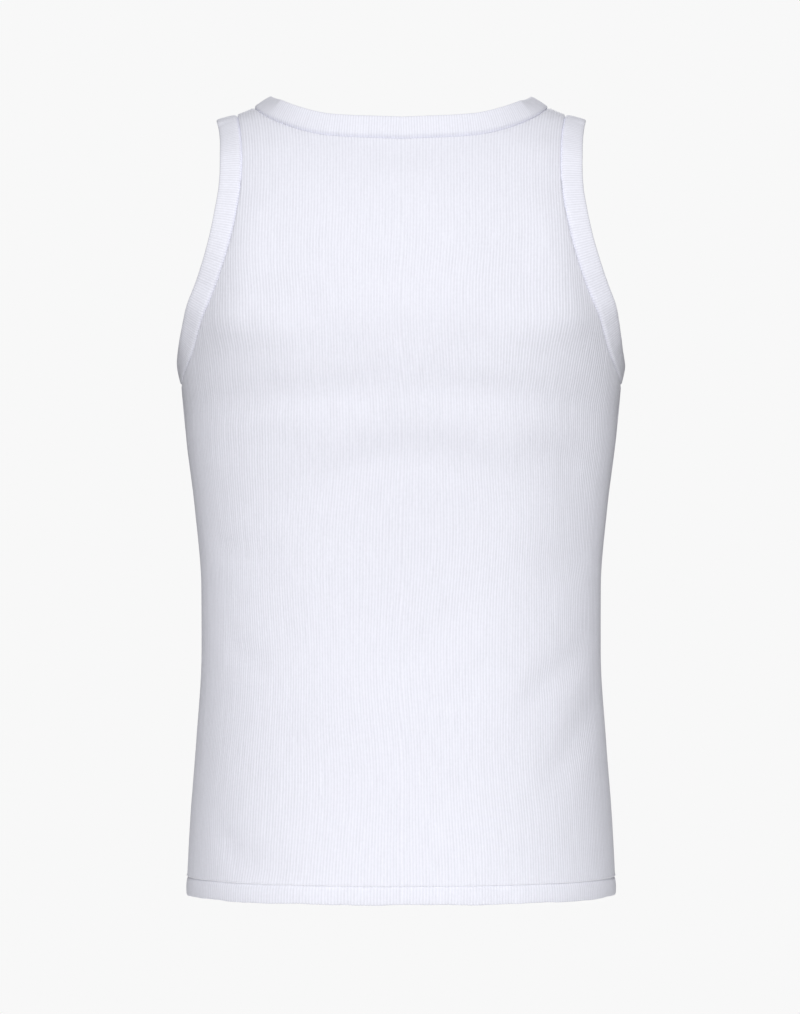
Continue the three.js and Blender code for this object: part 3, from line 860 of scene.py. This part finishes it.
# The hem's sewing: a row of stitches outside, and a thread over the turned-up edge inside. A stitch slips by
# a part of its length and tilts by millimetres. Each way gives parts of a stitch along the hem, and then
# millimetres: out from the form for the stitches, and above the hem and out for the cover thread.
HEM_STITCH = 2.5 * MM
HEM_THREAD = 0.2 * MM
STITCH_SLIP = 0.06
STITCH_TILT = 0.25
HEM_STITCH_WAY = [(0.06, -0.35), (0.2, 0.25), (0.5, 0.42), (0.8, 0.25), (0.94, -0.35)]
HEM_COVER_WAY = [(0.0, 12.4, -2.25), (0.5, 17.4, -1.4)]


def hem_points(panel, along, height, out):
    """Points beside the hem's stitch line, from their distances along it and out from the form."""
    column = -panel.facing * (along - panel.side_edge)
    point, normal = panel.worn_point(column, height)
    return point + normal * out[:, None] + hem_shift(column, height)


def hem_stitches(name, panel, seed):
    """The row of stitches that shows above the hem, none quite straight."""
    draws = np.random.default_rng(seed)
    runs = []
    count = int(2 * panel.side_edge / HEM_STITCH)
    way = np.array(HEM_STITCH_WAY)
    for k in range(count):
        along = (k + way[:, 0] + draws.uniform(-STITCH_SLIP, STITCH_SLIP)) * 2 * panel.side_edge / count
        height = STITCH_HEIGHT + np.linspace(0, 1, len(way)) * draws.uniform(-STITCH_TILT, STITCH_TILT) * MM
        runs.append(hem_points(panel, along, height, way[:, 1] * MM))
    return make_thread(name, runs, HEM_THREAD)


def hem_cover(name, panel):
    """The thread that covers the turned-up edge inside."""
    count = int(2 * panel.side_edge / HEM_STITCH)
    turns, height, out = np.array(HEM_COVER_WAY).T
    along = (np.arange(count)[:, None] + turns[None, :]).ravel() * 2 * panel.side_edge / count
    run = hem_points(panel, along, np.tile(height, count) * MM, np.tile(out, count) * MM)
    return make_thread(name, [run], HEM_THREAD)


# Finishes: scales in cycles a metre, shades as parts of the colour, the grooves' one being painted shade, and
# the strength and height of each bump
FUZZ_SCALE = 1100.0
FUZZ_SHARE = 0.7
KNIT_BUMP = 0.35
KNIT_BUMP_HEIGHT = 0.12 * MM
CLOUD_SCALE = 9.0
CLOUD_SHADE = 0.035
YARN_SCALE = 380.0
YARN_SHADE = 0.08
LEAST_SHADE = 0.96
# Painted shade between the ribs: how much darker the grooves are, and the scales at which that swings along
# them
PAINTED_SHADE_SWINGS_PER_RIB = 0.9
PAINTED_SHADE_SWINGS_PER_METRE = 42.0
GROOVE_PAINTED_SHADE = -0.1
GROOVE_PAINTED_SHADE_SWING = -0.3
TWIST_SCALE = 700.0
TWIST_BUMP = 0.3
TWIST_BUMP_HEIGHT = 0.05 * MM


def named_nodes(material):
    material.use_nodes = True
    tree = material.node_tree
    return tree, tree.nodes["Principled BSDF"]


def linked(tree, kind, inputs=None, **settings):
    """A new node with its settings made and its inputs joined or set."""
    node = tree.nodes.new(kind)
    for setting, value in settings.items():
        setattr(node, setting, value)
    for socket, value in (inputs or {}).items():
        if isinstance(value, bpy.types.NodeSocket):
            tree.links.new(value, node.inputs[socket])
        else:
            node.inputs[socket].default_value = value
    return node


def maths(tree, operation, *values):
    return linked(tree, "ShaderNodeMath", dict(enumerate(values)), operation=operation).outputs[0]


def knit_material(name, colour, rib_pitch):
    """Rib knit in cotton: soft, matt and a little uneven, with its stitches in rows along each rib and
    painted shade in its grooves.
    """
    material = bpy.data.materials.new(name)
    tree, shader = named_nodes(material)
    weave = linked(tree, "ShaderNodeUVMap", uv_map="weave").outputs["UV"]
    parts = linked(tree, "ShaderNodeSeparateXYZ", {"Vector": weave})
    ribs = maths(tree, "MULTIPLY", parts.outputs["X"], 1 / rib_pitch)
    slant = maths(tree, "PINGPONG", ribs, 0.5)
    courses = maths(tree, "MULTIPLY_ADD", parts.outputs["Y"], 1 / COURSE, slant)
    stitch = maths(tree, "PINGPONG", courses, 0.5)
    place = linked(tree, "ShaderNodeTexCoord").outputs["Object"]
    fuzz = linked(tree, "ShaderNodeTexNoise", {"Vector": place, "Scale": FUZZ_SCALE, "Detail": 3.0})
    height = maths(tree, "MULTIPLY_ADD", fuzz.outputs["Fac"], FUZZ_SHARE, stitch)
    relief = {"Height": height, "Strength": KNIT_BUMP, "Distance": KNIT_BUMP_HEIGHT}
    bump = linked(tree, "ShaderNodeBump", relief)
    cloudy = linked(tree, "ShaderNodeTexNoise", {"Vector": place, "Scale": CLOUD_SCALE, "Detail": 2.0})
    yarn = linked(tree, "ShaderNodeTexNoise", {"Vector": weave, "Scale": YARN_SCALE, "Detail": 3.0})
    fine_shade = maths(tree, "MULTIPLY_ADD", yarn.outputs["Fac"], YARN_SHADE, LEAST_SHADE)
    soft_shade = maths(tree, "MULTIPLY_ADD", cloudy.outputs["Fac"], CLOUD_SHADE, fine_shade)
    per_metre = (PAINTED_SHADE_SWINGS_PER_RIB / rib_pitch, PAINTED_SHADE_SWINGS_PER_METRE, 1.0)
    stretched = linked(tree, "ShaderNodeMapping", {"Vector": weave, "Scale": per_metre}).outputs["Vector"]
    uneven = linked(tree, "ShaderNodeTexNoise", {"Vector": stretched, "Scale": 1.0, "Detail": 2.0})
    # Painted shade: the colour is darker in the grooves between the ribs, by a depth that swings along them
    groove = maths(tree, "SUBTRACT", 0.5, slant)
    painted_shade_depth = maths(tree, "MULTIPLY_ADD", uneven.outputs["Fac"], GROOVE_PAINTED_SHADE_SWING, GROOVE_PAINTED_SHADE)
    groove_painted_shade = maths(tree, "MULTIPLY", groove, painted_shade_depth)
    level = maths(tree, "ADD", soft_shade, groove_painted_shade)
    tint = linked(
        tree, "ShaderNodeMix", {"Factor": 1.0, 6: (*colour, 1.0)}, data_type="RGBA", blend_type="MULTIPLY"
    )
    grey = linked(tree, "ShaderNodeCombineColor", {"Red": level, "Green": level, "Blue": level})
    tree.links.new(grey.outputs["Color"], tint.inputs[7])
    tree.links.new(tint.outputs[2], shader.inputs["Base Color"])
    tree.links.new(bump.outputs["Normal"], shader.inputs["Normal"])
    shader.inputs["Roughness"].default_value = 0.92
    shader.inputs["Specular IOR Level"].default_value = 0.2
    shader.inputs["Sheen Weight"].default_value = 0.12
    shader.inputs["Sheen Roughness"].default_value = 0.5
    return material


def thread_material(name, colour):
    """Twisted cotton sewing thread."""
    material = bpy.data.materials.new(name)
    tree, shader = named_nodes(material)
    place = linked(tree, "ShaderNodeTexCoord").outputs["Object"]
    twist = linked(tree, "ShaderNodeTexWave", {"Vector": place, "Scale": TWIST_SCALE, "Distortion": 1.5})
    relief = {"Height": twist.outputs["Fac"], "Strength": TWIST_BUMP, "Distance": TWIST_BUMP_HEIGHT}
    bump = linked(tree, "ShaderNodeBump", relief)
    tree.links.new(bump.outputs["Normal"], shader.inputs["Normal"])
    shader.inputs["Base Color"].default_value = (*colour, 1.0)
    shader.inputs["Roughness"].default_value = 0.7
    shader.inputs["Specular IOR Level"].default_value = 0.3
    return material


WHITE = (0.865, 0.87, 0.95)
BAND_WHITE = (0.86, 0.865, 0.945)
THREAD_WHITE = (0.93, 0.93, 0.97)
body_knit = knit_material("rib_knit", WHITE, 2 * back.side_edge / RIBS_PER_PANEL)
band_knit = knit_material("band_knit", BAND_WHITE, BAND_RIB)
cotton_thread = thread_material("cotton_thread", THREAD_WHITE)


def dress(piece, material, node):
    piece.data.materials.append(material)
    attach(piece, "root")
    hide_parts(node)


# The pieces: the two panels, the three bands, their sewing and the seams' allowances
back_panel = make_panel(back, "back_panel", 11)
dress(back_panel, body_knit, "back")
front_panel = make_panel(front, "front_panel", 12)
dress(front_panel, body_knit, "front")
armhole = armhole_path()
bands = [
    ("neck_band", "neck_band_folded", neck_path(), neck_lift, 21),
    ("armhole_band_right", "armhole_band_right_folded", armhole, armhole_lift, 22),
    ("armhole_band_left", "armhole_band_left_folded", mirrored(armhole), armhole_lift, 23),
]
for node, name, path, lift_at, seed in bands:
    band = make_band(name, path, lift_at, seed)
    dress(band, band_knit, node)
sewing = [overlock_ring(node + "_overlock", path) for node, _, path, _, _ in bands]
sewing += [hem_stitches("back_hem_stitches", back, 31), hem_stitches("front_hem_stitches", front, 32)]
sewing += [hem_cover("back_hem_cover_thread", back), hem_cover("front_hem_cover_thread", front)]
seams = [
    ("side_seam_right", side_seam(1)),
    ("side_seam_left", side_seam(-1)),
    ("shoulder_seam_right", shoulder_seam(1)),
    ("shoulder_seam_left", shoulder_seam(-1)),
]
for name, seam in seams:
    allowance, thread, length = make_allowance(name, seam)
    allowance.data.materials.append(body_knit)
    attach(allowance, "root")
    sewing.append(thread)
for thread in sewing:
    thread.data.materials.append(cotton_thread)
    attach(thread, "root")


# The room: a pale floor, soft light from in front and behind, and the camera behind the garment

CAMERA_PLACE = Vector((-1.0, -4000, -337)) * MM
SENSOR = 36
LENS = 166.3
FLOOR_DROP = 0.23
FLOOR_RADIUS = 0.9
FLOOR_GREY = 0.9
FLOOR_ROUGHNESS = 0.8

camera_data = bpy.data.cameras.new("camera")
camera_data.sensor_width = SENSOR
camera_data.lens = LENS
camera = bpy.data.objects.new("camera", camera_data)
camera.location = CAMERA_PLACE
camera.rotation_euler = (math.pi / 2, 0, 0)
bpy.context.scene.collection.objects.link(camera)
bpy.context.scene.camera = camera


def make_floor():
    bm = bmesh.new()
    bmesh.ops.create_circle(bm, cap_ends=True, segments=96, radius=FLOOR_RADIUS)
    bmesh.ops.translate(bm, vec=(0, 0, -ORIGIN_HEIGHT - FLOOR_DROP), verts=bm.verts)
    mesh = bpy.data.meshes.new("floor")
    bm.to_mesh(mesh)
    bm.free()
    floor = bpy.data.objects.new("floor", mesh)
    bpy.context.scene.collection.objects.link(floor)
    material = bpy.data.materials.new("pale_floor")
    _, shader = named_nodes(material)
    shader.inputs["Base Color"].default_value = (FLOOR_GREY, FLOOR_GREY, FLOOR_GREY, 1)
    shader.inputs["Roughness"].default_value = FLOOR_ROUGHNESS
    mesh.materials.append(material)


def add_softbox(name, place, target, size, power):
    data = bpy.data.lights.new(name, "AREA")
    data.shape = "RECTANGLE"
    data.size, data.size_y = size
    data.energy = power
    light = bpy.data.objects.new(name, data)
    light.location = place
    light.rotation_euler = (Vector(target) - Vector(place)).to_track_quat("-Z", "Y").to_euler()
    bpy.context.scene.collection.objects.link(light)


# The lights' aim, sizes in metres and powers in watts, and how bright the ground looks and how much it lights
MIDDLE = (0, 0, -0.33)
LARGE_BOX = (1.4, 1.4)
SMALL_BOX = (1.2, 1.2)
MAIN_POWER = 151
SIDE_POWER = 5
BACKGROUND = 0.939
ROOM_LIGHT = 0.16

make_floor()
add_softbox("key", (-0.12, -4.0, 1.25), MIDDLE, LARGE_BOX, MAIN_POWER)
add_softbox("front_fill", (0.12, 4.0, 1.25), MIDDLE, LARGE_BOX, MAIN_POWER)
add_softbox("side_fill", (2.4, -3.2, 0.3), MIDDLE, SMALL_BOX, SIDE_POWER)

world = bpy.data.worlds.new("studio")
world.use_nodes = True
bpy.context.scene.world = world
room = world.node_tree
seen = linked(room, "ShaderNodeLightPath").outputs["Is Camera Ray"]
level = maths(room, "MULTIPLY_ADD", seen, BACKGROUND - ROOM_LIGHT, ROOM_LIGHT)
room.nodes["Background"].inputs["Color"].default_value = (1, 1, 1, 1)
room.links.new(level, room.nodes["Background"].inputs["Strength"])
bpy.context.scene.view_settings.view_transform = "Standard"
